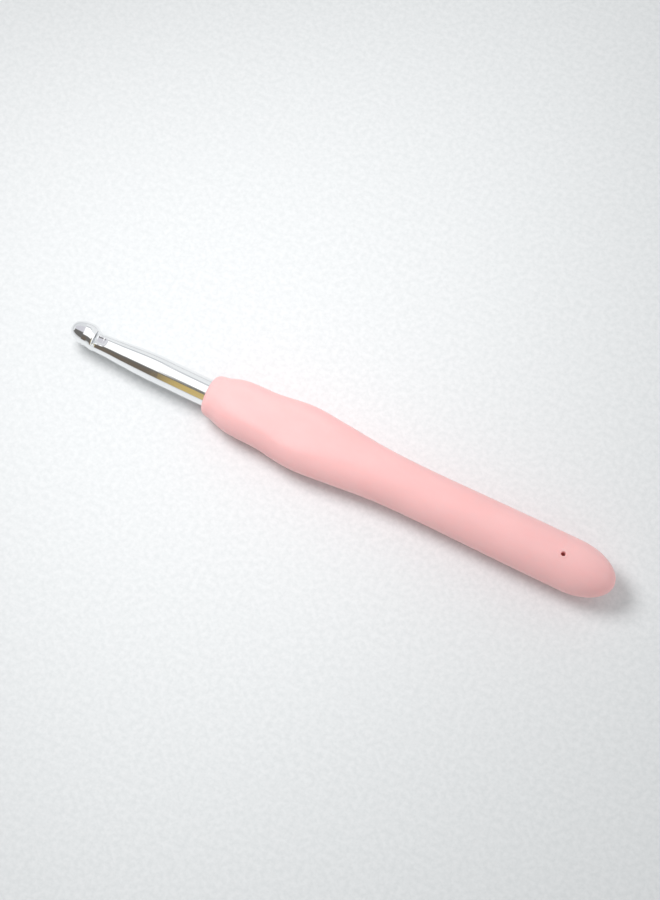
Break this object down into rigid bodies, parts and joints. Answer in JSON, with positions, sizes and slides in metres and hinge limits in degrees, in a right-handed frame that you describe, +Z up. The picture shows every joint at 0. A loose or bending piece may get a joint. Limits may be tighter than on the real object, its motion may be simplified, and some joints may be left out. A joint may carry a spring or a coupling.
{
  "type": "crochet hook",
  "caption": "Crochet hook: polished aluminium head, throat and shank in a moulded core under a soft pink grip with a thumb rest.",
  "frame": {"origin": "on the surface that the hook lies on, below the middle of its overall length", "axes": "+X along the tool from head to tail, +Z up with the thumb rest and the mouth of the head on top, +Y completes the right-handed frame"},
  "size_m": [0.1372, 0.0156, 0.0123],
  "materials": {
    "polished_aluminium": "bright polished",
    "core_plastic": "moulded, hidden",
    "pink_rubber": "soft satin"
  },
  "bodies": {
    "root": {"hook": "polished_aluminium", "handle_core": "core_plastic", "grip": "pink_rubber"}
  },
  "joints": []
}
